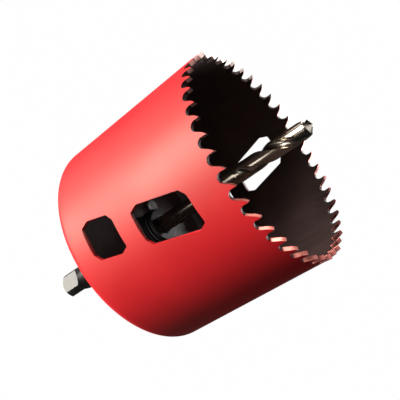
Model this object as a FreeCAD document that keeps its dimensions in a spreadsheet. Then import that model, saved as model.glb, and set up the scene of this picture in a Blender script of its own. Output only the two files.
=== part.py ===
import FreeCAD, Part
import math
import os
import Sketcher

Vector = FreeCAD.Vector
Rotation = FreeCAD.Rotation
Placement = FreeCAD.Placement

# The frame: +Z runs along the tool's axis toward the teeth and the pilot drill, and the origin
# is the centre of the shank's end face. The cup's two columns of windows lie across -Y and +Y.

# Driving dimensions in millimetres and degrees
SIZES = {
    # cup
    "cup_radius": 44.45,
    "cup_height": 71.1,
    "wall_thickness": 1.8,
    "cut_overshoot": 2.0,
    "cap_thickness": 5.5,
    "cap_edge_radius": 3.4,
    "spigot_height": 1.6,
    "spigot_clearance": 0.05,
    # teeth
    "tooth_count": 44,
    "tooth_turn": 1.1,
    "gullet_depth": 4.1,
    "gullet_radius": 2.0,
    "rake_angle": 2,
    "relief_angle": 38,
    "relief_length": 1.66,
    # windows, measured from the tooth tips and across the wall
    "window_stagger": 2.9,
    "window_width": 15.2,
    "window_lean": 14,
    "window_pivot_depth": 40.2,
    "large_window_depth": 27.25,
    "large_window_height": 22.2,
    "small_window_depth": 53.35,
    "small_window_height": 14.0,
    "sharp_corner_rise": 3.4,
    "sharp_corner_run": 2.3,
    "blunt_corner_rise": 1.8,
    "blunt_corner_run": 2.2,
    # arbor
    "arbor_turn": -22,
    "shank_radius": 5.556,
    "shank_length": 21,
    "shank_chamfer": 1.2,
    "shank_flats": 3,
    "shank_flat_depth": 1.3,
    "shank_flat_length": 11,
    "shank_flat_end_radius": 4.5,
    "body_across_flats": 19,
    "body_length": 10.5,
    "body_chamfer": 1.0,
    "stem_radius": 7.9375,
    "stem_chamfer": 1.2,
    "stem_across_flats": 13.6,
    "nose_reach": 13.75,
    # drive plate and its pins
    "plate_turn": -46,
    "plate_radius": 20.5,
    "plate_thickness": 7.5,
    "plate_chamfer": 0.8,
    "plate_clearance": 0.05,
    "pin_radius": 3.175,
    "pin_circle_radius": 15.1,
    "pin_reach": 2.2,
    "pin_chamfer": 0.5,
    "pin_hole_clearance": 0.15,
    # lock nut
    "nut_radius": 14.5,
    "nut_thickness": 6.5,
    "nut_gap": 1.5,
    "nut_chamfer": 0.9,
    "nut_grip_count": 12,
    "nut_grip_radius": 1.6,
    "nut_grip_depth": 0.8,
    "thread_clearance": 0.03,
    # pilot drill
    "drill_radius": 3.57,
    "drill_turn": -60.6,
    "drill_socket_depth": 37,
    "drill_reach": 18.2,
    "drill_lead": 40.4,
    "drill_plain_length": 42.2,
    "drill_web_radius": 1.0,
    "drill_land_share": 0.57,
    "drill_point_angle": 130,
    "drill_clearance": 0.04,
    # drill set screw
    "screw_radius": 2.5,
    "screw_lift": 5.2,
    "screw_recess": 0.4,
    "screw_chamfer": 0.4,
    "screw_key_size": 2.5,
    "screw_key_depth": 2.4,
    "screw_clearance": 0.03,
}

# Places and sizes that follow from the driving dimensions
DERIVED = {
    "body_base": "=shank_length",
    "body_top": "=body_base + body_length",
    "nut_base": "=cup_back - plate_thickness - nut_thickness",
    "plate_base": "=cup_back - plate_thickness",
    "cup_back": "=shank_length + body_length + nut_gap + nut_thickness + plate_thickness",
    "cap_top": "=cup_back + cap_thickness",
    "tip_height": "=cup_back + cup_height",
    "nose_height": "=cup_back + nose_reach",
    "wall_inner_radius": "=cup_radius - wall_thickness",
    "spigot_radius": "=wall_inner_radius - spigot_clearance",
    "cut_start": "=wall_inner_radius - cut_overshoot",
    "cut_reach": "=wall_thickness + 2 * cut_overshoot",
    "tooth_pitch": "=2 * cup_radius * sin(180 / tooth_count)",
    "gullet_centre_z": "=gullet_radius - gullet_depth",
    "gullet_centre_x": "=(gullet_radius + gullet_centre_z * sin(rake_angle)) / cos(rake_angle)",
    "rake_end_x": "=gullet_centre_x - gullet_radius * cos(rake_angle)",
    "rake_end_z": "=gullet_centre_z + gullet_radius * sin(rake_angle)",
    "relief_end_x": "=tooth_pitch - relief_length * cos(relief_angle)",
    "relief_end_z": "=0 - relief_length * sin(relief_angle)",
    "heel_run": "=relief_end_x - gullet_centre_x",
    "heel_rise": "=relief_end_z - gullet_centre_z",
    "heel_reach": "=sqrt(heel_run ^ 2 + heel_rise ^ 2)",
    "heel_angle": "=(atan(heel_rise / heel_run) - acos(gullet_radius / heel_reach)) / 1 deg",
    "heel_x": "=gullet_centre_x + gullet_radius * cos(heel_angle)",
    "heel_z": "=gullet_centre_z + gullet_radius * sin(heel_angle)",
    "drill_base": "=nose_height - drill_socket_depth",
    "drill_tip": "=tip_height + drill_reach",
    "drill_flute_base": "=nose_height + drill_plain_length",
    "drill_cone_height": "=drill_radius / tan(drill_point_angle / 2)",
    "flute_half_angle": "=90 * (1 - drill_land_share)",
    "flute_half_width": "=drill_radius * sin(flute_half_angle)",
    "flute_sag": "=drill_radius * cos(flute_half_angle) - drill_web_radius",
    "flute_radius": "=(flute_half_width * flute_half_width + flute_sag * flute_sag) / (2 * flute_sag)",
    "flute_offset": "=drill_web_radius + flute_radius",
    "screw_height": "=body_base + screw_lift",
    "screw_outer": "=body_across_flats / 2 - screw_recess",
    "screw_length": "=screw_outer - drill_radius",
    "pin_length": "=plate_thickness + cap_thickness + pin_reach",
    "shank_flat_plane": "=shank_radius - shank_flat_depth",
    "shank_flat_turn": "=shank_flat_length - shank_flat_end_radius",
    "body_corner_radius": "=body_across_flats / 2 / cos(30)",
}

doc = FreeCAD.newDocument("hole_saw")
sheet = doc.addObject("Spreadsheet::Sheet", "sizes")


def fill_sheet():
    row = 1
    for name, value in list(SIZES.items()) + list(DERIVED.items()):
        sheet.set("A%d" % row, name)
        sheet.set("B%d" % row, str(value))
        sheet.setAlias("B%d" % row, name)
        row += 1
    doc.recompute()


def value(text):
    """The number that a formula in the sheet's own names gives now."""
    result = sheet.evalExpression(text)
    return float(getattr(result, "Value", result))


def named(text):
    """The same formula as an object outside the sheet writes it."""
    words = sorted(list(SIZES) + list(DERIVED), key=len, reverse=True)
    out = ""
    word = ""
    for letter in text + " ":
        if letter.isalnum() or letter == "_":
            word += letter
            continue
        out += ("sizes." + word if word in words else word) + letter
        word = ""
    return out.strip()


def bind(thing, prop, text):
    thing.setExpression(prop, named(text))


def new_body(name):
    body = doc.addObject("PartDesign::Body", name)
    body.Label = name
    return body


def origin_part(body, role):
    for feature in body.Origin.OriginFeatures:
        if feature.Role == role:
            return feature
    raise ValueError(role)


def new_sketch(body, name, role, lift=None, turn=None):
    """A sketch on one of the body's own planes, lifted off it and turned about its upright."""
    sketch = body.newObject("Sketcher::SketchObject", name)
    sketch.AttachmentSupport = (origin_part(body, role), "")
    sketch.MapMode = "FlatFace"
    if turn is not None:
        sketch.AttachmentOffset = Placement(Vector(), Rotation(Vector(0, 1, 0), 1))
        bind(sketch, "AttachmentOffset.Rotation.Angle", turn)
        bind(sketch, "AttachmentOffset.Base.x", "(%s) * sin(%s)" % (lift, turn))
        bind(sketch, "AttachmentOffset.Base.z", "(%s) * cos(%s)" % (lift, turn))
    elif lift is not None:
        bind(sketch, "AttachmentOffset.Base.z", lift)
    return sketch


def hold_point(sketch, line, end, x, y):
    """Ties one end of a sketch line to a place given by two formulas."""
    across = sketch.addConstraint(Sketcher.Constraint("DistanceX", -1, 1, line, end, value(x)))
    bind(sketch, "Constraints[%d]" % across, x)
    up = sketch.addConstraint(Sketcher.Constraint("DistanceY", -1, 1, line, end, value(y)))
    bind(sketch, "Constraints[%d]" % up, y)


def draw_outline(sketch, corners):
    """A closed outline of straight lines; each corner is a pair of formulas."""
    first = sketch.GeometryCount
    count = len(corners)
    spots = [Vector(value(x), value(y), 0) for x, y in corners]
    for i in range(count):
        sketch.addGeometry(Part.LineSegment(spots[i], spots[(i + 1) % count]))
    for i in range(count):
        follower = first + (i + 1) % count
        sketch.addConstraint(Sketcher.Constraint("Coincident", first + i, 2, follower, 1))
    for i in range(count):
        hold_point(sketch, first + i, 1, *corners[i])


def draw_circle(sketch, x, y, radius):
    circle = Part.Circle(Vector(value(x), value(y), 0), Vector(0, 0, 1), value(radius))
    index = sketch.addGeometry(circle)
    hold_point(sketch, index, 3, x, y)
    size = sketch.addConstraint(Sketcher.Constraint("Radius", index, value(radius)))
    bind(sketch, "Constraints[%d]" % size, radius)


def turn_profile(body, name, corners):
    """A turned solid: the outline's radii and heights swept round the tool's axis."""
    sketch = new_sketch(body, name + "_profile", "XZ_Plane")
    draw_outline(sketch, corners)
    solid = body.newObject("PartDesign::Revolution", name)
    solid.Profile = sketch
    solid.ReferenceAxis = (sketch, ["V_Axis"])
    solid.Angle = 360
    return solid


def pad(body, sketch, name, length):
    solid = body.newObject("PartDesign::Pad", name)
    solid.Profile = sketch
    bind(solid, "Length", length)
    return solid


def pocket(body, sketch, name, length, outward):
    """A cut from the sketch's plane; outward cuts run the way the sketch faces."""
    cut = body.newObject("PartDesign::Pocket", name)
    cut.Profile = sketch
    cut.Reversed = outward
    bind(cut, "Length", length)
    return cut


def ring_pattern(body, originals, name, count):
    pattern = body.newObject("PartDesign::PolarPattern", name)
    pattern.Originals = originals
    pattern.Axis = (origin_part(body, "Z_Axis"), [""])
    pattern.Angle = 360
    bind(pattern, "Occurrences", count)
    body.Tip = pattern
    return pattern


def window_corners(depth, height, rise):
    """A leaning window: level ends, sides that lean with the column, and cut corners."""
    lean = "tan(window_lean)"
    low = "(tip_height + %s - %s - %s / 2)" % (rise, depth, height)
    high = "(tip_height + %s - %s + %s / 2)" % (rise, depth, height)
    pivot = "(tip_height + %s - window_pivot_depth)" % rise

    def side(z, sign):
        return "(%s - %s) * %s %s window_width / 2" % (z, pivot, lean, sign)

    return [
        (side(low, "-") + " + sharp_corner_run", low),
        (side(low, "+") + " - blunt_corner_run", low),
        (side("(%s + blunt_corner_rise)" % low, "+"), low + " + blunt_corner_rise"),
        (side("(%s - sharp_corner_rise)" % high, "+"), high + " - sharp_corner_rise"),
        (side(high, "+") + " - sharp_corner_run", high),
        (side(high, "-") + " + blunt_corner_run", high),
        (side("(%s - blunt_corner_rise)" % high, "-"), high + " - blunt_corner_rise"),
        (side("(%s + sharp_corner_rise)" % low, "-"), low + " + sharp_corner_rise"),
    ]


def build_saw_shell():
    """The rolled wall with its teeth and two leaning columns of windows, one set nearer the teeth."""
    body = new_body("saw_shell")
    turn_profile(body, "wall", [
        ("wall_inner_radius", "cap_top"),
        ("cup_radius", "cap_top"),
        ("cup_radius", "tip_height"),
        ("wall_inner_radius", "tip_height"),
    ])
    for name, turn, rise in (("front", "0", "0"), ("back", "180", "window_stagger")):
        windows = new_sketch(body, name + "_window_outline", "XZ_Plane", "cup_radius / 2", turn)
        for size in ("large", "small"):
            depth = size + "_window_depth"
            draw_outline(windows, window_corners(depth, size + "_window_height", rise))
        pocket(body, windows, name + "_window_cut", "cup_radius", True)

    tooth = new_sketch(body, "tooth_outline", "XZ_Plane", "cut_start", "tooth_turn")
    draw_outline(tooth, [
        ("0", "tip_height"),
        ("rake_end_x", "tip_height + rake_end_z"),
        ("gullet_centre_x", "tip_height + gullet_centre_z"),
        ("heel_x", "tip_height + heel_z"),
        ("relief_end_x", "tip_height + relief_end_z"),
        ("tooth_pitch", "tip_height"),
        ("tooth_pitch", "tip_height + gullet_radius"),
        ("0", "tip_height + gullet_radius"),
    ])
    tooth_cut = pocket(body, tooth, "tooth_cut", "cut_reach", True)
    gullet = new_sketch(body, "gullet_outline", "XZ_Plane", "cut_start", "tooth_turn")
    draw_circle(gullet, "gullet_centre_x", "tip_height + gullet_centre_z", "gullet_radius")
    gullet_cut = pocket(body, gullet, "gullet_cut", "cut_reach", True)
    ring_pattern(body, [tooth_cut, gullet_cut], "tooth_ring", "tooth_count")
    return body


def build_end_cap():
    """The thick welded cap: threaded centre hole, two pin holes and a spigot inside the wall."""
    body = new_body("end_cap")
    body.Placement = Placement(Vector(), Rotation(Vector(0, 0, 1), 1))
    bind(body, "Placement.Rotation.Angle", "plate_turn")
    bore = "stem_radius + thread_clearance"
    disc = turn_profile(body, "disc", [
        (bore, "cup_back"),
        ("cup_radius", "cup_back"),
        ("cup_radius", "cap_top"),
        ("spigot_radius", "cap_top"),
        ("spigot_radius", "cap_top + spigot_height"),
        ("spigot_radius - spigot_height", "cap_top + spigot_height"),
        ("spigot_radius - 2 * spigot_height", "cap_top"),
        (bore, "cap_top"),
    ])
    doc.recompute()
    rim = circle_edge(disc, "cup_radius", "cup_back")
    rounded = body.newObject("PartDesign::Fillet", "cap_rim")
    rounded.Base = (disc, [rim])
    bind(rounded, "Radius", "cap_edge_radius")
    holes = new_sketch(body, "pin_hole_outline", "XY_Plane", lift="cup_back")
    draw_circle(holes, "pin_circle_radius", "0", "pin_radius + pin_hole_clearance")
    hole = pocket(body, holes, "pin_hole", "cap_thickness", True)
    ring_pattern(body, [hole], "pin_holes", "2")
    return body


def circle_edge(feature, radius, height):
    """The name of the round edge at the given radius and height."""
    for number, edge in enumerate(feature.Shape.Edges, 1):
        curve = edge.Curve
        if not isinstance(curve, Part.Circle):
            continue
        same_size = abs(curve.Radius - value(radius)) < 1e-6
        if same_size and abs(curve.Center.z - value(height)) < 1e-6:
            return "Edge%d" % number
    raise ValueError("no round edge at %s, %s" % (radius, height))


def build_arbor():
    """Shank with three ground flats, hexagonal body and threaded stem, in one piece."""
    body = new_body("arbor")
    body.Placement = Placement(Vector(), Rotation(Vector(0, 0, 1), 1))
    bind(body, "Placement.Rotation.Angle", "arbor_turn")
    bore = "drill_radius + drill_clearance"
    turn_profile(body, "turned_blank", [
        ("0", "0"),
        ("shank_radius - shank_chamfer", "0"),
        ("shank_radius", "shank_chamfer"),
        ("shank_radius", "body_base"),
        ("body_corner_radius - body_chamfer", "body_base"),
        ("body_corner_radius", "body_base + body_chamfer"),
        ("body_corner_radius", "body_top - body_chamfer"),
        ("body_corner_radius - body_chamfer", "body_top"),
        ("stem_radius", "body_top"),
        ("stem_radius", "nose_height - stem_chamfer"),
        ("stem_radius - stem_chamfer", "nose_height"),
        (bore, "nose_height"),
        (bore, "drill_base"),
        ("0", "drill_base"),
    ])
    flat = new_sketch(body, "shank_flat_outline", "XZ_Plane", lift="shank_flat_plane")
    draw_flat(flat)
    flat_cut = pocket(body, flat, "shank_flat", "shank_radius", True)
    ring_pattern(body, [flat_cut], "shank_flats_ring", "shank_flats")

    side = new_sketch(body, "body_side_outline", "XZ_Plane", lift="body_across_flats / 2")
    draw_outline(side, [
        ("0 - body_across_flats", "body_base"),
        ("body_across_flats", "body_base"),
        ("body_across_flats", "body_top"),
        ("0 - body_across_flats", "body_top"),
    ])
    side_cut = pocket(body, side, "body_side", "body_across_flats", True)
    ring_pattern(body, [side_cut], "body_sides", "6")

    key = new_sketch(body, "stem_flat_outline", "XZ_Plane", lift="stem_across_flats / 2")
    draw_outline(key, [
        ("0 - stem_radius", "body_top"),
        ("stem_radius", "body_top"),
        ("stem_radius", "cup_back"),
        ("0 - stem_radius", "cup_back"),
    ])
    key_cut = pocket(body, key, "stem_flat", "stem_radius", True)
    ring_pattern(body, [key_cut], "stem_flats", "2")

    tapped = new_sketch(body, "screw_hole_outline", "XZ_Plane")
    draw_circle(tapped, "0", "screw_height", "screw_radius + screw_clearance")
    body.Tip = pocket(body, tapped, "screw_hole", "body_across_flats", True)
    return body


def draw_flat(sketch):
    """The footprint of a ground flat: straight sides and a round end toward the cup."""
    half = "shank_flat_end_radius"
    past = "0 - shank_chamfer"
    corners = [("0 - " + half, "shank_flat_turn"), ("0 - " + half, past), (half, past)]
    corners.append((half, "shank_flat_turn"))
    spots = [Vector(value(x), value(y), 0) for x, y in corners]
    for i in range(3):
        sketch.addGeometry(Part.LineSegment(spots[i], spots[i + 1]))
    middle = Vector(0, value("shank_flat_turn"), 0)
    round_end = Part.Circle(middle, Vector(0, 0, 1), value(half))
    sketch.addGeometry(Part.ArcOfCircle(round_end, 0, math.pi))
    for i in range(2):
        sketch.addConstraint(Sketcher.Constraint("Coincident", i, 2, i + 1, 1))
    sketch.addConstraint(Sketcher.Constraint("Coincident", 2, 2, 3, 1))
    sketch.addConstraint(Sketcher.Constraint("Coincident", 3, 2, 0, 1))
    for i in range(3):
        hold_point(sketch, i, 1, *corners[i])
    hold_point(sketch, 2, 2, *corners[3])
    level = Sketcher.Constraint("DistanceY", -1, 1, 3, 3, middle.y)
    bind(sketch, "Constraints[%d]" % sketch.addConstraint(level), "shank_flat_turn")


def build_drive_plate():
    """The sliding plate that carries the two drive pins; its bore keys on the stem's flats."""
    body = new_body("drive_plate")
    body.Placement = Placement(Vector(), Rotation(Vector(0, 0, 1), 1))
    bind(body, "Placement.Rotation.Angle", "plate_turn")
    turn_profile(body, "plate_blank", [
        ("0", "plate_base"),
        ("plate_radius - plate_chamfer", "plate_base"),
        ("plate_radius", "plate_base + plate_chamfer"),
        ("plate_radius", "cup_back - plate_chamfer"),
        ("plate_radius - plate_chamfer", "cup_back"),
        ("0", "cup_back"),
    ])
    keyway = new_sketch(body, "keyed_bore_outline", "XY_Plane", lift="plate_base")
    draw_keyed_bore(keyway)
    pocket(body, keyway, "keyed_bore", "plate_thickness", True)
    seats = new_sketch(body, "pin_seat_outline", "XY_Plane", lift="plate_base")
    draw_circle(seats, "pin_circle_radius", "0", "pin_radius")
    seat = pocket(body, seats, "pin_seat", "plate_thickness", True)
    ring_pattern(body, [seat], "pin_seats", "2")
    return body


def draw_keyed_bore(sketch):
    """A round bore with two flats, turned to match the stem's flats."""
    turn = "(arbor_turn - plate_turn - 90)"
    half = "(stem_across_flats / 2 + plate_clearance)"
    radius = "(stem_radius + plate_clearance)"
    chord = "sqrt(%s ^ 2 - %s ^ 2)" % (radius, half)

    def spot(a, b):
        x = "%s * %s * cos(%s) - %s * %s * sin(%s)" % (a, half, turn, b, chord, turn)
        y = "%s * %s * sin(%s) + %s * %s * cos(%s)" % (a, half, turn, b, chord, turn)
        return x, y

    corners = [spot("1", "(0 - 1)"), spot("1", "1"), spot("(0 - 1)", "1"), spot("(0 - 1)", "(0 - 1)")]
    places = [Vector(value(x), value(y), 0) for x, y in corners]
    flats = []
    for i in (0, 2):
        flats.append(sketch.addGeometry(Part.LineSegment(places[i], places[i + 1])))
    angles = [math.atan2(place.y, place.x) for place in places]
    circle = Part.Circle(Vector(), Vector(0, 0, 1), value(radius))
    arcs = []
    for i, j in ((1, 2), (3, 0)):
        arcs.append(sketch.addGeometry(Part.ArcOfCircle(circle, angles[i], angles[j])))
    for flat, start, finish in ((flats[0], 0, 1), (flats[1], 2, 3)):
        hold_point(sketch, flat, 1, *corners[start])
        hold_point(sketch, flat, 2, *corners[finish])
    for arc, before, after in ((arcs[0], flats[0], flats[1]), (arcs[1], flats[1], flats[0])):
        sketch.addConstraint(Sketcher.Constraint("Coincident", before, 2, arc, 1))
        sketch.addConstraint(Sketcher.Constraint("Coincident", arc, 2, after, 1))
        size = sketch.addConstraint(Sketcher.Constraint("Radius", arc, value(radius)))
        bind(sketch, "Constraints[%d]" % size, radius)


def build_drive_pin(name, side):
    """One drive pin, pressed in the plate and reaching through the cap."""
    pin = doc.addObject("Part::Cylinder", name + "_rod")
    bind(pin, "Radius", "pin_radius")
    bind(pin, "Height", "pin_length")
    doc.recompute()
    ends = []
    for number, edge in enumerate(pin.Shape.Edges, 1):
        if isinstance(edge.Curve, Part.Circle):
            ends.append((number, SIZES["pin_chamfer"], SIZES["pin_chamfer"]))
    chamfered = doc.addObject("Part::Chamfer", name)
    chamfered.Base = pin
    chamfered.Edges = ends
    chamfered.Label = name
    across = "%s * pin_circle_radius" % side
    bind(chamfered, "Placement.Base.x", across + " * cos(plate_turn)")
    bind(chamfered, "Placement.Base.y", across + " * sin(plate_turn)")
    bind(chamfered, "Placement.Base.z", "plate_base")
    return chamfered


def build_lock_nut():
    """The round nut that holds the drive plate against the cap."""
    body = new_body("lock_nut")
    bore = "stem_radius + thread_clearance"
    turn_profile(body, "nut_blank", [
        (bore, "nut_base"),
        ("nut_radius - nut_chamfer", "nut_base"),
        ("nut_radius", "nut_base + nut_chamfer"),
        ("nut_radius", "plate_base - nut_chamfer"),
        ("nut_radius - nut_chamfer", "plate_base"),
        (bore, "plate_base"),
    ])
    grip = new_sketch(body, "grip_outline", "XY_Plane", lift="nut_base")
    draw_circle(grip, "nut_radius + nut_grip_radius - nut_grip_depth", "0", "nut_grip_radius")
    groove = pocket(body, grip, "grip_groove", "nut_thickness", True)
    ring_pattern(body, [groove], "grip_grooves", "nut_grip_count")
    return body


def flute_cutter(direction, length):
    """A round bar wound about the drill's axis, which leaves one flute where it is cut away."""
    offset = value("flute_offset")
    angle = math.radians(direction)
    centre = Vector(offset * math.cos(angle), offset * math.sin(angle), 0)
    spine = Part.Wire(Part.makeLine(Vector(), Vector(0, 0, length)))
    guide = Part.makeHelix(value("drill_lead"), length, offset)
    sweep = Part.BRepOffsetAPI.MakePipeShell(spine)
    sweep.setAuxiliarySpine(Part.Wire(guide), True, 0)
    sweep.add(Part.Wire(Part.makeCircle(value("flute_radius"), centre)), False, False)
    sweep.build()
    sweep.makeSolid()
    return sweep.shape()


def build_pilot_drill():
    """The pilot drill: a plain shank, two helical flutes and a cone point."""
    radius = value("drill_radius")
    base = value("drill_base")
    flute_base = value("drill_flute_base")
    tip = value("drill_tip")
    cone = value("drill_cone_height")
    shape = Part.makeCylinder(radius, tip - cone - base, Vector(0, 0, base))
    shape = shape.fuse(Part.makeCone(radius, 0, cone, Vector(0, 0, tip - cone)))
    for side in (0, 180):
        direction = value("drill_turn") + 90 * (1 + value("drill_land_share")) + side
        cutter = flute_cutter(direction, tip - flute_base + cone)
        cutter.translate(Vector(0, 0, flute_base))
        shape = shape.cut(cutter)
    feature = doc.addObject("Part::Feature", "pilot_drill")
    feature.Label = "pilot_drill"
    feature.Shape = shape.Solids[0] if len(shape.Solids) == 1 else shape
    feature.Placement = Placement()
    return feature


def build_set_screw():
    """The socket set screw that holds the pilot drill in the arbor."""
    body = new_body("drill_set_screw")
    body.Placement = Placement(Vector(), Rotation(Vector(0, 0, 1), 1))
    bind(body, "Placement.Rotation.Angle", "arbor_turn")
    end = new_sketch(body, "screw_outline", "XZ_Plane", lift="drill_radius")
    draw_circle(end, "0", "screw_height", "screw_radius")
    rod = pad(body, end, "screw_rod", "screw_length")
    doc.recompute()
    tips = []
    for number, edge in enumerate(rod.Shape.Edges, 1):
        if isinstance(edge.Curve, Part.Circle):
            tips.append("Edge%d" % number)
    bevel = body.newObject("PartDesign::Chamfer", "screw_ends")
    bevel.Base = (rod, tips)
    bind(bevel, "Size", "screw_chamfer")
    key = new_sketch(body, "key_outline", "XZ_Plane", lift="screw_outer")
    corner = "screw_key_size / 2 / cos(30)"
    draw_outline(key, [
        ("%s * cos(%d)" % (corner, angle), "screw_height + %s * sin(%d)" % (corner, angle))
        for angle in range(0, 360, 60)
    ])
    body.Tip = pocket(body, key, "key_socket", "screw_key_depth", False)
    return body


def check_and_write(parts):
    doc.recompute()
    for thing in doc.Objects:
        if "Invalid" in thing.State or "Error" in thing.State:
            raise RuntimeError("%s: %s" % (thing.Name, thing.State))
    os.makedirs("parts", exist_ok=True)
    for part in parts:
        shape = part.Shape
        if shape.isNull() or not shape.isValid():
            raise RuntimeError("%s has no valid shape" % part.Label)
        box = shape.BoundBox
        print("%-16s solids %d volume %9.1f  z %.2f to %.2f  x %.2f to %.2f  y %.2f to %.2f" % (
            part.Label, len(shape.Solids), shape.Volume, box.ZMin, box.ZMax,
            box.XMin, box.XMax, box.YMin, box.YMax))
    for part in parts:
        part.Shape.exportStep("parts/%s.step" % part.Label)


fill_sheet()
check_and_write([
    build_saw_shell(),
    build_end_cap(),
    build_arbor(),
    build_drive_plate(),
    build_drive_pin("drive_pin_a", "1"),
    build_drive_pin("drive_pin_b", "(0 - 1)"),
    build_lock_nut(),
    build_pilot_drill(),
    build_set_screw(),
])
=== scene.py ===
"""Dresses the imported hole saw: detailed pieces, materials, studio light and the photo's camera."""
import math

import bmesh
import bpy
from mathutils import Matrix, Vector
from mathutils.geometry import delaunay_2d_cdt


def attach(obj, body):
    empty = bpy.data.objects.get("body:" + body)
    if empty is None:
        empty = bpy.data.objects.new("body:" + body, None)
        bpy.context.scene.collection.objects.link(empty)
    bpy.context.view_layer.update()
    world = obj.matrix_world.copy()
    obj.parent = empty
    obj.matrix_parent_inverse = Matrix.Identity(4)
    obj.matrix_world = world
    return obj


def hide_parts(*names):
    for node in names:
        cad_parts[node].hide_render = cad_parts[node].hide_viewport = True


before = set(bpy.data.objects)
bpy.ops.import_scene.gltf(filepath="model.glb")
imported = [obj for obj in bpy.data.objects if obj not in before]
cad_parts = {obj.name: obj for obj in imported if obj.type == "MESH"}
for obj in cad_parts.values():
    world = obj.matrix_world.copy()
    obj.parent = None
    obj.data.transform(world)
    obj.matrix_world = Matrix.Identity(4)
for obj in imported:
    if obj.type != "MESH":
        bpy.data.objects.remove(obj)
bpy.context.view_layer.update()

MM = 0.001

# Sizes in millimetres, the same as in the part's source
CUP_RADIUS = 44.45
WALL = 1.8
INNER_RADIUS = CUP_RADIUS - WALL
CUP_BACK = 47.0
CAP_TOP = 52.5
TIP_HEIGHT = 118.1
CAP_ROUND = 3.4
EDGE = 0.12

TOOTH_COUNT = 44
TOOTH_TURN = 1.1
PITCH = 2 * math.pi * CUP_RADIUS / TOOTH_COUNT
GULLET_DEPTH = 4.1
GULLET_RADIUS = 2.0
RAKE_ANGLE = 2
RELIEF_ANGLE = 38
RELIEF_LENGTH = 1.66
TOOTH_SET = 0.2
TOOTH_LEANS = (1, -1, 1, -1, 0, 1, -1, 1, -1, 1, -1)
TOOTH_BASE = TIP_HEIGHT - GULLET_DEPTH
GULLET_STEPS = 12
SHOULDER_BEFORE, SHOULDER_AFTER = 0.8, 1.1
SHOULDER_STEPS = 5

WINDOW_WIDTH = 15.2
WINDOW_LEAN = 14
WINDOW_PIVOT = TIP_HEIGHT - 40.2
WINDOWS = ((TIP_HEIGHT - 27.25, 22.2), (TIP_HEIGHT - 53.35, 14.0))
WINDOW_STAGGER = 2.9
SHARP_RISE, SHARP_RUN = 3.4, 2.3
BLUNT_RISE, BLUNT_RUN = 1.8, 2.2
WINDOW_ROUND = 0.35

PLATE_TURN = -46
PIN_CIRCLE = 15.1
PIN_HOLE = 3.325
HOLE_CHAMFER = 0.3
BORE_CHAMFER = 0.5
SPIGOT_GAP = 0.05
BORE_GAP = 0.05
ARBOR_TURN = -22
SHANK_RADIUS = 5.556
SHANK_LENGTH = 21
SHANK_CHAMFER = 1.2
SHANK_FLAT_PLANE = SHANK_RADIUS - 1.3
SHANK_FLAT_TURN = 6.5
SHANK_FLAT_END = 4.5
SHANK_FLAT_TOP = 11.2
BODY_TOP = 31.5
BODY_ACROSS = 19.0
STEM_RADIUS = 7.9375
STEM_FLAT = 6.8
NOSE = 60.75
NOSE_CHAMFER = 1.2
THREAD_PITCH = 25.4 / 18
THREAD_DEPTH = 0.75
SCREW_HEIGHT = 26.2
SCREW_HOLE = 2.53
DRILL_GAP = 0.04

DRILL_RADIUS = 3.57
DRILL_BASE = 23.75
DRILL_FLUTE_BASE = 102.95
DRILL_TIP = 136.3
DRILL_LEAD = 40.4
DRILL_TURN = -60.6
DRILL_WEB = 1.0
DRILL_LAND = 0.57
DRILL_POINT = 130
DRILL_RUNOUT = 4.5
DRILL_RELIEF = 9
DRILL_MARGIN = 12
DRILL_CLEARED = 0.1


# Mesh building

class Skin:
    """Points and faces in millimetres, with a material number for each face."""

    def __init__(self):
        self.points = []
        self.faces = []
        self.marks = []

    def add(self, point):
        self.points.append(Vector(point) * MM)
        return len(self.points) - 1

    def face(self, corners, mark=0):
        self.faces.append(corners)
        self.marks.append(mark)

    def strip(self, first, second, mark=0, closed=True):
        """Quads between two rows of points of the same length."""
        a = [self.add(p) for p in first]
        b = [self.add(p) for p in second]
        count = len(a)
        for i in range(count if closed else count - 1):
            j = (i + 1) % count
            self.face((a[i], a[j], b[j], b[i]), mark)

    def rows(self, rows, marks=None, closed=True):
        """Quads between each row and the next, sharing their points.

        A mark may be a list, one for each quad.
        """
        indexed = [[self.add(p) for p in row] for row in rows]
        count = len(indexed[0])
        for k in range(len(indexed) - 1):
            a, b = indexed[k], indexed[k + 1]
            mark = marks[k] if marks else 0
            for i in range(count if closed else count - 1):
                j = (i + 1) % count
                self.face((a[i], a[j], b[j], b[i]), mark[i] if isinstance(mark, list) else mark)
        return indexed

    def build(self, name, materials, round_marks=(), sharp=30, weld=0.002):
        """The finished object. Faces with a round mark take exact cylinder normals."""
        mesh = bpy.data.meshes.new(name)
        mesh.from_pydata([tuple(p) for p in self.points], [], self.faces)
        mesh.polygons.foreach_set("material_index", self.marks)
        work = bmesh.new()
        work.from_mesh(mesh)
        bmesh.ops.remove_doubles(work, verts=work.verts, dist=weld * MM)
        bmesh.ops.dissolve_degenerate(work, edges=work.edges, dist=1e-7)
        bmesh.ops.recalc_face_normals(work, faces=work.faces)
        work.to_mesh(mesh)
        work.free()
        for material in materials:
            mesh.materials.append(material)
        mesh.shade_smooth()
        mesh.set_sharp_from_angle(angle=math.radians(sharp))
        if round_marks:
            normals = []
            for face in mesh.polygons:
                for corner in face.vertices:
                    if face.material_index in round_marks:
                        place = mesh.vertices[corner].co
                        out = Vector((place.x, place.y, 0)).normalized()
                        normals.append(out if face.normal.dot(out) > 0 else -out)
                    else:
                        normals.append(Vector())
            mesh.normals_split_custom_set([tuple(n) for n in normals])
        thing = bpy.data.objects.new(name, mesh)
        bpy.context.scene.collection.objects.link(thing)
        return thing


def polar(radius, angle, height):
    turn = math.radians(angle)
    return (radius * math.cos(turn), radius * math.sin(turn), height)


def circle(radius, height, steps, centre=(0, 0)):
    points = []
    for i in range(steps):
        x, y, z = polar(radius, 360 * i / steps, height)
        points.append((x + centre[0], y + centre[1], z))
    return points


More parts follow.
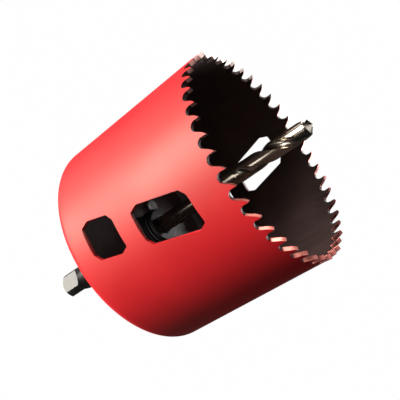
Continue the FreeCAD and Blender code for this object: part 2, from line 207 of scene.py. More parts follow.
def rounded(corners, radius, steps=3):
    """A closed outline with each corner replaced by a short curve."""
    out = []
    count = len(corners)
    for i, corner in enumerate(corners):
        here = Vector(corner)
        before = Vector(corners[i - 1]) - here
        after = Vector(corners[(i + 1) % count]) - here
        cut = min(radius, before.length * 0.45, after.length * 0.45)
        start = here + before.normalized() * cut
        end = here + after.normalized() * cut
        for k in range(steps + 1):
            t = k / steps
            out.append(tuple(start.lerp(here, t).lerp(here.lerp(end, t), t)))
    return out


def inset(outline, amount, closed=True):
    """The outline moved to the right of its own direction by the amount, with sharp corners kept."""
    moved = []
    count = len(outline)
    for i, point in enumerate(outline):
        here = Vector(point)
        before = here - Vector(outline[i - 1]) if closed or i > 0 else None
        after = Vector(outline[(i + 1) % count]) - here if closed or i < count - 1 else None
        sides = [Vector((d.y, -d.x)).normalized() for d in (before, after) if d is not None]
        push = sides[0]
        if len(sides) == 2:
            push = (sides[0] + sides[1]) / max(0.2, 1 + sides[0].dot(sides[1]))
        moved.append(tuple(here + push * amount))
    return moved


def triangles(loops, keep):
    """Triangles between closed loops and open lines in the plane, where keep says so."""
    points = []
    edges = []
    for loop, closed in loops:
        base = len(points)
        points.extend(Vector(p) for p in loop)
        last = len(loop) if closed else len(loop) - 1
        edges.extend((base + i, base + (i + 1) % len(loop)) for i in range(last))
    found = delaunay_2d_cdt(points, edges, [], 0, 1e-5)
    spots, faces = found[0], found[2]
    kept = []
    for face in faces:
        middle = sum((spots[i] for i in face), Vector((0, 0))) / len(face)
        if keep(middle.x, middle.y):
            kept.append(tuple(face))
    return spots, kept


def inside(outline, x, y):
    """True where the point lies inside the closed outline."""
    hit = False
    previous = outline[-1]
    for current in outline:
        if (current[1] > y) != (previous[1] > y):
            share = (y - current[1]) / (previous[1] - current[1])
            if x < current[0] + share * (previous[0] - current[0]):
                hit = not hit
        previous = current
    return hit


# The toothed wall, worked out flat and then rolled up

def tooth_edge():
    """The cut edge over one pitch, from one tooth tip to the next, below the tips."""
    centre_z = GULLET_RADIUS - GULLET_DEPTH
    rake = math.radians(RAKE_ANGLE)
    relief = math.radians(RELIEF_ANGLE)
    centre_x = (GULLET_RADIUS + centre_z * math.sin(rake)) / math.cos(rake)
    shoulder = Vector((PITCH - RELIEF_LENGTH * math.cos(relief), -RELIEF_LENGTH * math.sin(relief)))
    run = shoulder.x - centre_x
    rise = shoulder.y - centre_z
    heel = math.atan2(rise, run) - math.acos(GULLET_RADIUS / math.hypot(run, rise))
    points = [Vector((0, 0))]
    start = math.pi - rake
    end = 2 * math.pi + heel
    for i in range(GULLET_STEPS + 1):
        angle = start + (end - start) * i / GULLET_STEPS
        points.append(Vector((centre_x + GULLET_RADIUS * math.cos(angle),
                              centre_z + GULLET_RADIUS * math.sin(angle))))
    before = shoulder + (points[-1] - shoulder).normalized() * SHOULDER_BEFORE
    after = shoulder + (Vector((PITCH, 0)) - shoulder).normalized() * SHOULDER_AFTER
    for i in range(SHOULDER_STEPS + 1):
        t = i / SHOULDER_STEPS
        points.append(before.lerp(shoulder, t).lerp(shoulder.lerp(after, t), t))
    return points


def toothed_line(amount):
    """The whole cut edge round the cup, moved into the steel by the amount: (along, height) pairs."""
    pitch_points = tooth_edge()
    cycle = [tuple(p - Vector((PITCH, 0))) for p in pitch_points]
    cycle += [tuple(p) for p in pitch_points]
    cycle += [tuple(p + Vector((PITCH, 0))) for p in pitch_points]
    moved = inset(cycle, amount, closed=False)
    one = moved[len(pitch_points):2 * len(pitch_points)]
    line = []
    for k in range(TOOTH_COUNT):
        for x, z in one:
            line.append((SEAM + k * PITCH + x, TIP_HEIGHT + z))
    line.append((line[0][0] + TOOTH_COUNT * PITCH, line[0][1]))
    return line


def window_outline(middle, height, column):
    """One window on the unrolled wall, clockwise, with its corners cut and slightly rounded."""
    lean = math.tan(math.radians(WINDOW_LEAN))
    low = middle - height / 2
    high = middle + height / 2

    def side(z, sign):
        return (z - WINDOW_PIVOT) * lean + sign * WINDOW_WIDTH / 2

    corners = [
        (side(low, -1) + SHARP_RUN, low),
        (side(low + SHARP_RISE, -1), low + SHARP_RISE),
        (side(high - BLUNT_RISE, -1), high - BLUNT_RISE),
        (side(high, -1) + BLUNT_RUN, high),
        (side(high, 1) - SHARP_RUN, high),
        (side(high - SHARP_RISE, 1), high - SHARP_RISE),
        (side(low + BLUNT_RISE, 1), low + BLUNT_RISE),
        (side(low, 1) - BLUNT_RUN, low),
    ]
    outline = []
    for x, z in rounded(corners, WINDOW_ROUND):
        along = CUP_RADIUS * math.asin(x / CUP_RADIUS)
        outline.append((along + column * math.pi * CUP_RADIUS, z + column * WINDOW_STAGGER))
    return outline


# The unrolled wall starts at a tooth tip a quarter turn, 11 teeth, before the front
SEAM = CUP_RADIUS * math.radians(TOOTH_TURN) - 11 * PITCH

# In the points of one tooth's edge, where the rake face ends and where the tooth's back begins
RAKE_END = 1
BACK_START = 11


def tooth_set(along, height):
    """How far the tooth at this place leans out of the wall."""
    number = math.floor((along - SEAM - GULLET_RADIUS) / PITCH)
    rise = (height - TOOTH_BASE) / GULLET_DEPTH
    rise = max(0.0, min(1.0, rise))
    lean = TOOTH_LEANS[number % len(TOOTH_LEANS)]
    return TOOTH_SET * lean * rise * rise * (3 - 2 * rise)


def rolled(along, height, radius):
    radius = radius + tooth_set(along, height)
    return polar(radius, -90 + math.degrees(along / CUP_RADIUS), height)


def build_wall(paint, bare, dark, back_sheen, scale):
    """The rolled wall.

    Marks: paint, rake faces, inside, tooth backs lightened by painted sheen, outer part of the window
    edges, inner part of the window edges partly darkened as painted shade, gullets darkened as painted
    shade. The scale argument carries the gullets' painted shade.
    """
    skin = Skin()
    windows = [window_outline(z, h, column) for column in (0, 1) for z, h in WINDOWS]
    edge = toothed_line(0)
    edge_in = toothed_line(EDGE)
    windows_in = [inset(w, -EDGE) for w in windows]
    low_line = TOOTH_BASE - 0.5
    uprights = [SEAM + i * PITCH / 4 for i in range(TOOTH_COUNT * 4 + 1)]
    end = SEAM + TOOTH_COUNT * PITCH

    cycle = len(tooth_edge())
    one_tooth = [(x - SEAM, z) for x, z in edge_in[cycle - 2:2 * cycle + 2]]
    floor = low_line - 5

    def keep(x, z):
        if z < CAP_TOP or not SEAM < x < end:
            return False
        if z > low_line:
            local = (x - SEAM) % PITCH
            around = [(local, z), (local + PITCH, z)]
            outline = one_tooth + [(one_tooth[-1][0], floor), (one_tooth[0][0], floor)]
            if not any(inside(outline, *spot) for spot in around):
                return False
        return not any(inside(w, x, z) for w in windows_in)

    loops = [(w, True) for w in windows_in]
    loops.append((edge_in, False))
    loops.append(([(x, CAP_TOP) for x in uprights], False))
    loops.append(([(x, low_line) for x in uprights], False))
    for x in uprights:
        loops.append(([(x, CAP_TOP), (x, low_line)], False))
    loops.append(([(SEAM, low_line), edge_in[0]], False))
    loops.append(([(end, low_line), edge_in[-1]], False))
    spots, faces = triangles(loops, keep)
    for radius, mark in ((CUP_RADIUS, 0), (INNER_RADIUS, 2)):
        base = [skin.add(rolled(p.x, p.y, radius)) for p in spots]
        for face in faces:
            skin.face(tuple(base[i] for i in face), mark)

    def wall_strips(line, line_in, closed, marks):
        middle = CUP_RADIUS - WALL * 0.75
        skin.rows([
            [rolled(x, z, CUP_RADIUS) for x, z in line_in],
            [rolled(x, z, CUP_RADIUS - EDGE) for x, z in line],
            [rolled(x, z, middle) for x, z in line],
            [rolled(x, z, INNER_RADIUS + EDGE) for x, z in line],
            [rolled(x, z, INNER_RADIUS) for x, z in line_in],
        ], marks, closed)

    by_face = []
    for i in range(len(edge)):
        step = i % cycle
        by_face.append(1 if step < RAKE_END else 3 if step >= BACK_START else 6)
    wall_strips(edge, edge_in, False, (0, by_face, by_face, by_face))
    for line, line_in in zip(windows, windows_in):
        # The inner quarter of each window edge takes the dark inside finish: partly where the paint ends,
        # partly painted shade that keeps the far window's edge dark.
        wall_strips(line, line_in, True, (0, 4, 5, 5))
    skin.rows([
        [rolled(x, CAP_TOP, CUP_RADIUS) for x in uprights],
        [rolled(x, CAP_TOP, INNER_RADIUS) for x in uprights],
    ], (0,), False)
    used = {i for face in skin.faces for i in face}
    order = {old: new for new, old in enumerate(sorted(used))}
    skin.points = [skin.points[i] for i in sorted(used)]
    skin.faces = [tuple(order[i] for i in face) for face in skin.faces]
    wall = skin.build("cup_wall", [paint, bare, dark, back_sheen, paint, dark, scale], round_marks=(0, 2))
    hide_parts("saw_shell")
    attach(wall, "root")


def flat_ring(skin, outer, holes, height, mark):
    """A flat face with holes, between closed outlines in the plane."""
    loops = [(outer, True)] + [(h, True) for h in holes]

    def keep(x, y):
        return inside(outer, x, y) and not any(inside(h, x, y) for h in holes)

    spots, faces = triangles(loops, keep)
    base = {}
    for face in faces:
        for i in face:
            if i not in base:
                base[i] = skin.add((spots[i].x, spots[i].y, height))
        skin.face(tuple(base[i] for i in face), mark)


def build_cap(paint, dark, thread):
    """The thick cap: rounded outer rim, two pin holes, a plain centre hole and a weld bead inside."""
    skin = Skin()
    steps = 176
    bore = STEM_RADIUS + BORE_GAP
    profile = []
    for i in range(9):
        angle = math.radians(270 + 90 * i / 8)
        profile.append((CUP_RADIUS - CAP_ROUND + CAP_ROUND * math.cos(angle),
                        CUP_BACK + CAP_ROUND + CAP_ROUND * math.sin(angle)))
    profile.append((CUP_RADIUS, CAP_TOP))
    rows = [circle(r, z, steps) for r, z in profile]
    skin.rows(rows, [0] * len(profile))
    spigot = INNER_RADIUS - SPIGOT_GAP
    inner = [(CUP_RADIUS, CAP_TOP), (spigot, CAP_TOP), (spigot, CAP_TOP + 1.6)]
    inner += [(spigot - 0.9, CAP_TOP + 1.35), (spigot - 2.1, CAP_TOP + 0.7), (spigot - 3.2, CAP_TOP)]
    skin.rows([circle(r, z, steps) for r, z in inner], [0, 2, 2, 2, 2])

    centres = []
    for side in (0, 180):
        centres.append(polar(PIN_CIRCLE, PLATE_TURN + side, 0)[:2])
    for height, out, way, mark in ((CUP_BACK, profile[0][0], 1, 0), (CAP_TOP, spigot - 3.2, -1, 2)):
        rim = [(p[0], p[1]) for p in circle(out, 0, steps)]
        holes = [[(p[0], p[1]) for p in circle(PIN_HOLE + HOLE_CHAMFER, 0, 32, c)] for c in centres]
        holes.append([(p[0], p[1]) for p in circle(bore + BORE_CHAMFER, 0, 64)])
        flat_ring(skin, rim, holes, height, mark)
        for c in centres:
            wide = circle(PIN_HOLE + HOLE_CHAMFER, height, 32, c)
            skin.strip(wide, circle(PIN_HOLE, height + way * HOLE_CHAMFER, 32, c), 2)
        wide = circle(bore + BORE_CHAMFER, height, 64)
        skin.strip(wide, circle(bore, height + way * BORE_CHAMFER, 64), 2)
    for c in centres:
        low_ring = circle(PIN_HOLE, CUP_BACK + HOLE_CHAMFER, 32, c)
        skin.strip(low_ring, circle(PIN_HOLE, CAP_TOP - HOLE_CHAMFER, 32, c), 2)
    skin.strip(circle(bore, CUP_BACK + BORE_CHAMFER, 64), circle(bore, CAP_TOP - BORE_CHAMFER, 64), 2)
    cap = skin.build("cup_cap", [paint, thread, dark])
    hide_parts("end_cap")
    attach(cap, "root")


# The arbor

def solid(skin_points, name):
    """A closed lathe solid from a profile of (radius, height) pairs that starts and ends on the axis."""
    skin = Skin()
    steps = 144
    rows = []
    for r, z in skin_points:
        rows.append(circle(max(r, 1e-4), z, steps))
    skin.rows(rows)
    return skin.build(name, [], weld=0.001)


def prism(outline, low, high, frame_of, name):
    """A closed block over an outline, placed by frame_of(x, y, depth)."""
    skin = Skin()
    bottom = [frame_of(x, y, low) for x, y in outline]
    top = [frame_of(x, y, high) for x, y in outline]
    skin.strip(bottom, top)
    a = [skin.add(p) for p in bottom]
    b = [skin.add(p) for p in top]
    skin.face(tuple(a))
    skin.face(tuple(b))
    return skin.build(name, [])


def carve(target, cutters):
    """Cuts the cutters out of the target and leaves a plain mesh."""
    for cutter in cutters:
        cut = target.modifiers.new("cut", "BOOLEAN")
        cut.object = cutter
        cut.operation = "DIFFERENCE"
        cut.solver = "EXACT"
    settle(target)
    for cutter in cutters:
        old = cutter.data
        bpy.data.objects.remove(cutter)
        bpy.data.meshes.remove(old)


def settle(thing):
    """Applies the modifiers of an object to its mesh."""
    bpy.context.view_layer.update()
    graph = bpy.context.evaluated_depsgraph_get()
    mesh = bpy.data.meshes.new_from_object(thing.evaluated_get(graph))
    old = thing.data
    thing.modifiers.clear()
    thing.data = mesh
    bpy.data.meshes.remove(old)
    mesh.name = thing.name


def soften(thing, width, angle=30, segments=2):
    """Bevels the object's sharp edges."""
    bevel = thing.modifiers.new("soften", "BEVEL")
    bevel.width = width * MM
    bevel.segments = segments
    bevel.limit_method = "ANGLE"
    bevel.angle_limit = math.radians(angle)
    bevel.harden_normals = True
    bevel.use_clamp_overlap = True
    settle(thing)


def facing(angle):
    """The way out of the arbor at an angle, and a function that places (x, y, depth) facing that way."""
    turn = math.radians(ARBOR_TURN - 90 + angle)
    out = Vector((math.cos(turn), math.sin(turn), 0))
    across = Vector((-math.sin(turn), math.cos(turn), 0))

    def place(x, y, depth):
        return tuple(out * depth + across * x + Vector((0, 0, y)))

    return out, place


def build_shank(oxide, ground, dark):
    """Shank with three ground flats, and the hexagonal body with the set screw's hole."""
    corner = BODY_ACROSS / 2 / math.cos(math.radians(30))
    blank = solid([
        (0, 0), (SHANK_RADIUS - SHANK_CHAMFER, 0), (SHANK_RADIUS, SHANK_CHAMFER),
        (SHANK_RADIUS, SHANK_LENGTH), (corner - 1, SHANK_LENGTH), (corner, SHANK_LENGTH + 1),
        (corner, BODY_TOP - 1), (corner - 1, BODY_TOP), (0, BODY_TOP),
    ], "arbor_shank")
    cutters = []
    outline = [(-SHANK_FLAT_END, -3), (SHANK_FLAT_END, -3)]
    for i in range(25):
        angle = math.pi * i / 24
        rise = SHANK_FLAT_END * math.sin(angle)
        outline.append((SHANK_FLAT_END * math.cos(angle), SHANK_FLAT_TURN + rise))
    for k in range(3):
        cutters.append(prism(outline, SHANK_FLAT_PLANE, SHANK_RADIUS + 3, facing(120 * k)[1], "cut_flat"))
    low, high = SHANK_LENGTH - 0.5, BODY_TOP + 0.5
    outline = [(-12, low), (12, low), (12, high), (-12, high)]
    for k in range(6):
        cutters.append(prism(outline, BODY_ACROSS / 2, BODY_ACROSS, facing(60 * k)[1], "cut_side"))
    out, place = facing(0)
    hole = []
    for i in range(32):
        angle = math.pi * i / 16
        hole.append((SCREW_HOLE * math.cos(angle), SCREW_HEIGHT + SCREW_HOLE * math.sin(angle)))
    cutters.append(prism(hole, 3.0, 14, place, "cut_hole"))
    carve(blank, cutters)
    for material in (oxide, ground, dark):
        blank.data.materials.append(material)
    for face in blank.data.polygons:
        middle = face.center / MM
        reach = math.hypot(middle.x, middle.y)
        flat = reach < SHANK_RADIUS - 0.02 and abs(face.normal.z) < 0.1 and middle.z < SHANK_FLAT_TOP
        face.material_index = 1 if flat else 0
        near_hole = abs(middle.z - SCREW_HEIGHT) < 2.4 and 3 < reach < 9.0
        if near_hole and abs(face.normal.z) < 0.999 and face.normal.dot(out) < 0.9:
            face.material_index = 2
    soften(blank, 0.16)
    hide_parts("arbor")
    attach(blank, "root")


def build_stem(oxide):
    """The threaded stem with its flats behind the cap and the drill's bore."""
    stem = Skin()
    steps = 96
    profile = ((0.0, 0.0), (0.14, 0.0), (0.46, 1.0), (0.54, 1.0), (0.86, 0.0))
    low, high = BODY_TOP - 0.2, NOSE
    turns = int((high - low) / THREAD_PITCH) + 3
    rows = []
    for n in range(turns):
        for share, rise in profile:
            rows.append((n + share - 1, rise))
    rail = []
    for n, rise in rows:
        line = []
        for j in range(steps + 1):
            angle = 360 * j / steps
            z = low + (n + j / steps) * THREAD_PITCH
            r = STEM_RADIUS - THREAD_DEPTH * (1 - rise)
            z = max(low, min(high, z))
            r = min(r, STEM_RADIUS - NOSE_CHAMFER + (high - z))
            if z < CUP_BACK:
                share = math.cos(math.radians(angle - ARBOR_TURN + 90))
                if abs(share) > 0.1:
                    r = min(r, STEM_FLAT / abs(share))
            line.append(polar(r, angle, z))
        rail.append(line)
    stem.rows(rail, closed=False)
    bore = DRILL_RADIUS + DRILL_GAP
    lip = STEM_RADIUS - NOSE_CHAMFER - THREAD_DEPTH
    rim = [circle(STEM_RADIUS - NOSE_CHAMFER, NOSE, steps), circle(lip, NOSE, steps)]
    rim += [circle(bore + 0.5, NOSE, steps), circle(bore, NOSE - 0.5, steps), circle(bore, NOSE - 8, steps)]
    stem.rows(rim)
    thread = stem.build("arbor_stem", [oxide])
    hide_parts("arbor")
    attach(thread, "root")


# The pilot drill

def drill_section(retreat):
    """The section as (radius, angle) pairs: cleared land, margin and round flute, twice over.

    The retreat moves the flutes' round outward, as where the grinding wheel leaves the blank.
    """
    land = DRILL_LAND * 180
    half = math.radians(90 - land / 2)
    edge = DRILL_RADIUS * math.cos(half)
    side = DRILL_RADIUS * math.sin(half)
    sag = edge - DRILL_WEB
    radius = (side * side + sag * sag) / (2 * sag)
    middle = DRILL_WEB + radius
    opening = math.atan2(side, edge - middle)
    cleared = DRILL_RADIUS - DRILL_CLEARED * max(0.0, 1 - retreat / 0.6)
    section = []
    for turn in (0, 180):
        for i in range(33):
            angle = (land - DRILL_MARGIN) * i / 32
            section.append((cleared, turn + angle))
        for i in range(5):
            section.append((DRILL_RADIUS, turn + land - DRILL_MARGIN + 0.6 + (DRILL_MARGIN - 0.6) * i / 4))
        for i in range(1, 32):
            around = -opening - (2 * math.pi - 2 * opening) * i / 32
            x = middle + retreat + radius * math.cos(around)
            y = radius * math.sin(around)
            reach = math.hypot(x, y)
            angle = math.atan2(y, x)
            if reach > DRILL_RADIUS:
                reach = DRILL_RADIUS
                angle = max(-half, min(half, angle))
            section.append((reach, turn + 90 + land / 2 + math.degrees(angle)))
    return section


def build_drill(steel):
    """A plain shank, two helical flutes that run out where it begins, and a cone point."""
    skin = Skin()
    slope = math.tan(math.radians(DRILL_POINT / 2))
    cone = DRILL_RADIUS / slope
    land = DRILL_LAND * 180
    shoulder = DRILL_TIP - cone - DRILL_RADIUS * math.radians(land) * math.tan(math.radians(DRILL_RELIEF))
    heights = [DRILL_BASE, DRILL_BASE + 0.3]
    fluted = shoulder - DRILL_FLUTE_BASE + 2
    steps = round(fluted / 0.3)
    heights += [DRILL_FLUTE_BASE - 2 + fluted * i / steps for i in range(steps + 1)]
    depth = DRILL_RADIUS - DRILL_WEB
    rows = []
    for z in heights:
        twist = DRILL_TURN + 360 * (z - DRILL_FLUTE_BASE) / DRILL_LEAD
        left = max(0.0, DRILL_FLUTE_BASE + DRILL_RUNOUT - z) / DRILL_RUNOUT
        row = []
        for reach, angle in drill_section(depth * left * left):
            if z < DRILL_BASE + 0.1:
                reach -= 0.3
            row.append(polar(reach, angle + twist, z))
        rows.append(row)
    for k in range(1, 25):
        row = []
        for reach, angle in drill_section(0):
            reach = max(0.01, reach * (1 - k / 24))
            behind = max(0.0, land - angle % 180) * math.pi / 180
            z = DRILL_TIP - reach / slope - reach * behind * math.tan(math.radians(DRILL_RELIEF))
            row.append(polar(reach, angle + DRILL_TURN + 360 * (z - DRILL_FLUTE_BASE) / DRILL_LEAD, z))
        rows.append(row)
    rings = skin.rows(rows)
    skin.face(tuple(rings[-1]))
    skin.face(tuple(rings[0]))
    drill = skin.build("twist_drill", [steel], sharp=32, weld=0.0005)
    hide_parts("pilot_drill")
    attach(drill, "root")


# Materials

class Finish:
    """A node material put together in a few calls."""

    def __init__(self, name, roughness=0.5, metallic=0.0):
        self.material = bpy.data.materials.new(name)
        self.material.use_nodes = True
        self.nodes = self.material.node_tree.nodes
        self.links = self.material.node_tree.links
        self.shader = self.nodes["Principled BSDF"]
        self.shader.inputs["Metallic"].default_value = metallic
        self.shader.inputs["Roughness"].default_value = roughness
        self.place = self.nodes.new("ShaderNodeTexCoord").outputs["Object"]

    def set(self, **values):
        for key, number in values.items():
            self.shader.inputs[key.replace("_", " ")].default_value = number

    def stretched(self, stretch):
        mapping = self.nodes.new("ShaderNodeMapping")
        mapping.inputs["Scale"].default_value = stretch
        self.links.new(self.place, mapping.inputs["Vector"])
        return mapping.outputs["Vector"]

    def noise(self, scale, detail=3.0, stretch=(1, 1, 1), contrast=(0.35, 0.65)):
        texture = self.nodes.new("ShaderNodeTexNoise")
        texture.inputs["Scale"].default_value = scale
        texture.inputs["Detail"].default_value = detail
        self.links.new(self.stretched(stretch), texture.inputs["Vector"])
        spread = self.nodes.new("ShaderNodeMapRange")
        spread.inputs["From Min"].default_value = contrast[0]
        spread.inputs["From Max"].default_value = contrast[1]
        self.links.new(texture.outputs["Fac"], spread.inputs["Value"])
        return spread.outputs["Result"]

    def colour(self, factor, first, second):
        mix = self.nodes.new("ShaderNodeMix")
        mix.data_type = "RGBA"
        self.links.new(factor, mix.inputs["Factor"])
        for socket, tint in ((mix.inputs[6], first), (mix.inputs[7], second)):
            if isinstance(tint, tuple):
                socket.default_value = (*tint, 1)
            else:
                self.links.new(tint, socket)
        return mix.outputs[2]

    def number(self, factor, low, high):
        spread = self.nodes.new("ShaderNodeMapRange")
        spread.inputs["To Min"].default_value = low
        spread.inputs["To Max"].default_value = high
        self.links.new(factor, spread.inputs["Value"])
        return spread.outputs["Result"]

    def bump(self, height, distance, strength=1.0, under=None):
        bump = self.nodes.new("ShaderNodeBump")
        bump.inputs["Distance"].default_value = distance * MM
        bump.inputs["Strength"].default_value = strength
        self.links.new(height, bump.inputs["Height"])
        if under is not None:
            self.links.new(under, bump.inputs["Normal"])
        return bump.outputs["Normal"]

    def use(self, **outputs):
        for key, output in outputs.items():
            self.links.new(output, self.shader.inputs[key.replace("_", " ")])
        return self.material


def red_paint():
    """Baked enamel over steel: even red, fine orange peel, a broad soft sheen."""
    finish = Finish("red_enamel")
    finish.set(Specular_IOR_Level=0.62, Specular_Tint=(0.72, 1.0, 0.86, 1), Diffuse_Roughness=1.0)
    cloud = finish.noise(28, 4)
    speck = finish.noise(900, 2, contrast=(0.3, 0.7))
    base = finish.colour(cloud, (0.70, 0.007, 0.016), (0.78, 0.010, 0.020))
    tint = finish.colour(finish.number(speck, 0.0, 0.10), base, (0.74, 0.02, 0.03))
    peel = finish.bump(finish.noise(1100, 2), 0.004, 0.35)
    wave = finish.bump(finish.noise(60, 2), 0.03, 0.15, peel)
    return finish.use(Base_Color=tint, Roughness=finish.number(cloud, 0.50, 0.56), Normal=wave)


def cut_face(name, first, second, rough=(0.27, 0.38)):
    """A cut face of the wall's edge: fine-grained metal between two colours."""
    finish = Finish(name, metallic=1.0)
    lines = finish.noise(700, 3)
    base = finish.colour(lines, first, second)
    return finish.use(Base_Color=base, Roughness=finish.number(lines, *rough),
                      Normal=finish.bump(lines, 0.01, 0.4))


def dark_inside():
    """Unpolished rolled steel with a thin dark coat and a trace of red overspray."""
    finish = Finish("dark_inside", metallic=0.0)
    finish.set(Specular_IOR_Level=0.35)
    cloud = finish.noise(45, 5)
    grain = finish.noise(500, 3, stretch=(1, 1, 0.12))
    base = finish.colour(cloud, (0.062, 0.036, 0.034), (0.096, 0.056, 0.053))
    return finish.use(Base_Color=base, Roughness=finish.number(grain, 0.42, 0.62),
                      Normal=finish.bump(grain, 0.02, 0.4))


def black_oxide(name, low=(0.035, 0.032, 0.034), high=(0.075, 0.068, 0.068)):
    """Oil-blackened steel with turning marks."""
    finish = Finish(name, metallic=1.0)
    cloud = finish.noise(120, 4)
    rings = finish.noise(60, 3, stretch=(1, 1, 40))
    base = finish.colour(cloud, low, high)
    return finish.use(Base_Color=base, Roughness=finish.number(cloud, 0.34, 0.5),
                      Normal=finish.bump(rings, 0.01, 0.5))


def ground_steel(name, low=(0.60, 0.58, 0.55), high=(0.80, 0.78, 0.75), rough=(0.22, 0.38)):
    """Bright steel with short grinding lines."""
    finish = Finish(name, metallic=1.0)
    lines = finish.noise(260, 4, stretch=(1, 1, 12))
    base = finish.colour(lines, low, high)
    return finish.use(Base_Color=base, Roughness=finish.number(lines, *rough),
                      Normal=finish.bump(lines, 0.01, 0.35))


def ground_flat():
    """The shank's flats: matt from the coarse wheel, with short lines across."""
    finish = Finish("ground_flats", metallic=0.1)
    finish.set(Specular_IOR_Level=0.3)
    lines = finish.noise(260, 4, stretch=(1, 1, 12))
    base = finish.colour(lines, (0.20, 0.198, 0.19), (0.26, 0.257, 0.25))
    return finish.use(Base_Color=base, Roughness=finish.number(lines, 0.5, 0.62),
                      Normal=finish.bump(lines, 0.01, 0.35))


def drill_steel():
    """Polished high speed steel with a straw tint that deepens in patches."""
    finish = Finish("straw_steel", metallic=1.0)
    cloud = finish.noise(70, 3)
    lines = finish.noise(400, 3, stretch=(1, 1, 0.2))
    base = finish.colour(cloud, (0.60, 0.52, 0.43), (0.76, 0.69, 0.60))
    return finish.use(Base_Color=base, Roughness=finish.number(lines, 0.16, 0.28),
                      Normal=finish.bump(lines, 0.006, 0.3))


# Light, floor and camera

def area_light(name, azimuth, elevation, distance, size, power, colour=(1, 1, 1), aim=(0, 0, 0.085)):
    """A softbox at a direction from the middle of the tool. Azimuth 0 is the camera's side."""
    data = bpy.data.lights.new(name, "AREA")
    data.shape = "RECTANGLE"
    data.size, data.size_y = size
    data.energy = power
    data.color = colour
    lamp = bpy.data.objects.new(name, data)
    bpy.context.scene.collection.objects.link(lamp)
    turn = math.radians(azimuth - 84.2)
    lift = math.radians(elevation)
    away = Vector((math.cos(turn) * math.cos(lift), math.sin(turn) * math.cos(lift), math.sin(lift)))
    lamp.location = Vector(aim) + away * distance
    lamp.rotation_euler = away.to_track_quat("Z", "Y").to_euler()
    lamp.visible_camera = False


def add_floor():
    """A wide pale floor that the camera sees as nearly plain white."""
    skin = Skin()
    half, level = 6000, -420
    corners = ((-half, -half, level), (half, -half, level), (half, half, level), (-half, half, level))
    skin.face([skin.add(p) for p in corners])
    finish = Finish("pale_floor", roughness=0.9)
    grain = finish.noise(3, 3)
    finish.use(Base_Color=finish.colour(grain, (0.28, 0.28, 0.28), (0.32, 0.32, 0.32)))
    nodes, links = finish.nodes, finish.links
    glow = nodes.new("ShaderNodeEmission")
    glow.inputs["Strength"].default_value = 1.0
    path = nodes.new("ShaderNodeLightPath")
    share = nodes.new("ShaderNodeMath")
    share.operation = "MULTIPLY"
    share.inputs[1].default_value = 0.995
    links.new(path.outputs["Is Camera Ray"], share.inputs[0])
    mix = nodes.new("ShaderNodeMixShader")
    links.new(share.outputs[0], mix.inputs["Fac"])
    links.new(finish.shader.outputs[0], mix.inputs[1])
    links.new(glow.outputs[0], mix.inputs[2])
    links.new(mix.outputs[0], nodes["Material Output"].inputs["Surface"])
    floor = skin.build("floor", [finish.material])


def light_world():
    """White to the camera, white overhead in gloss, and a dim fill for everything else."""
    world = bpy.data.worlds.new("studio")
    bpy.context.scene.world = world
    world.use_nodes = True
    nodes, links = world.node_tree.nodes, world.node_tree.links
    back = nodes["Background"]
    path = nodes.new("ShaderNodeLightPath")

    def joined(operation, first, second):
        node = nodes.new("ShaderNodeMath")
        node.operation = operation
        links.new(first, node.inputs[0])
        links.new(second, node.inputs[1])
        return node.outputs[0]

    place = nodes.new("ShaderNodeTexCoord")
    split = nodes.new("ShaderNodeSeparateXYZ")
    links.new(place.outputs["Generated"], split.inputs["Vector"])
    overhead = nodes.new("ShaderNodeMapRange")
    overhead.interpolation_type = "SMOOTHSTEP"
    overhead.inputs["From Min"].default_value = 0.8
    overhead.inputs["From Max"].default_value = 0.98
    links.new(split.outputs["Z"], overhead.inputs["Value"])
    gloss = joined("MAXIMUM", path.outputs["Is Glossy Ray"], path.outputs["Is Transmission Ray"])
    high = joined("MULTIPLY", gloss, overhead.outputs["Result"])
    seen = joined("MAXIMUM", path.outputs["Is Camera Ray"], high)
    strength = nodes.new("ShaderNodeMapRange")
    strength.inputs["To Min"].default_value = 0.01
    strength.inputs["To Max"].default_value = 1.0
    links.new(seen, strength.inputs["Value"])
    back.inputs["Color"].default_value = (1, 1, 1, 1)
    links.new(strength.outputs["Result"], back.inputs["Strength"])


CAMERA_LENS = 53.44
CAMERA_PLACE = Vector((0.0211, -0.20771, 0.19247))
CAMERA_AIM = Vector((0.00002, 0.00067, 0.08124))
CAMERA_ROLL = 56.108


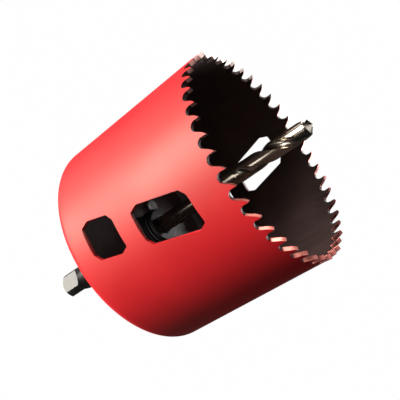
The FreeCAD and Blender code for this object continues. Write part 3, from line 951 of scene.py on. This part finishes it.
def add_camera():
    """The photo's camera, turned about its own line of sight."""
    data = bpy.data.cameras.new("photo_camera")
    data.sensor_width = 36
    data.lens = CAMERA_LENS
    data.clip_start = 0.01
    data.clip_end = 50
    camera = bpy.data.objects.new("photo_camera", data)
    bpy.context.scene.collection.objects.link(camera)
    forward = (CAMERA_AIM - CAMERA_PLACE).normalized()
    level = forward.cross(Vector((0, 0, 1))).normalized()
    upright = level.cross(forward)
    roll = math.radians(CAMERA_ROLL)
    up = upright * math.cos(roll) - level * math.sin(roll)
    right = forward.cross(up)
    turn = Matrix((right, up, -forward)).transposed()
    camera.matrix_world = Matrix.Translation(CAMERA_PLACE) @ turn.to_4x4()
    bpy.context.scene.camera = camera


add_camera()
add_floor()
light_world()
WARM = (1.0, 0.97, 0.90)
area_light("key_softbox", -43, -22, 0.42, (0.22, 0.34), 4.0, WARM)
area_light("front_strip", -4, -27, 0.5, (0.15, 0.25), 0.25, WARM)
area_light("left_strip", -92, -27, 0.5, (0.14, 0.3), 0.28, WARM)
area_light("rim_softbox", -102, 31, 0.45, (0.2, 0.2), 1.3, WARM)
area_light("back_softbox", 164, 12, 0.55, (0.4, 0.3), 3.6)

PAINT = red_paint()
DARK = dark_inside()
OXIDE = black_oxide("black_oxide")
STEEL_EDGE = cut_face("cut_edge", (0.56, 0.47, 0.46), (0.74, 0.64, 0.62))
# The tooth backs: red paint, its colour lightened to salmon as painted sheen.
BACK_PAINT_SHEEN = cut_face("back_paint_sheen", (0.70, 0.19, 0.16), (0.80, 0.30, 0.26), (0.36, 0.48))
# The gullets: cut steel coloured near black, painted shade where the light does not reach them.
GULLET_SHADE = cut_face("gullet_painted_shade", (0.05, 0.036, 0.034), (0.10, 0.07, 0.066), (0.55, 0.7))
build_wall(PAINT, STEEL_EDGE, DARK, BACK_PAINT_SHEEN, GULLET_SHADE)
build_cap(PAINT, DARK, OXIDE)
build_shank(OXIDE, ground_flat(), DARK)
build_stem(OXIDE)
build_drill(drill_steel())

ZINC = ground_steel("zinc_plate", (0.42, 0.42, 0.41), (0.56, 0.55, 0.53), (0.35, 0.5))
PIN = ground_steel("pin_steel", (0.55, 0.55, 0.54), (0.7, 0.7, 0.69), (0.25, 0.4))
packed = (
    ("drive_plate", ZINC),
    ("drive_pin_a", PIN),
    ("drive_pin_b", PIN),
    ("lock_nut", black_oxide("nut_oxide")),
    ("drill_set_screw", black_oxide("screw_oxide")),
)
for node, material in packed:
    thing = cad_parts[node]
    for place in thing.material_slots:
        place.material = material

view = bpy.context.scene.view_settings
view.view_transform = "Standard"
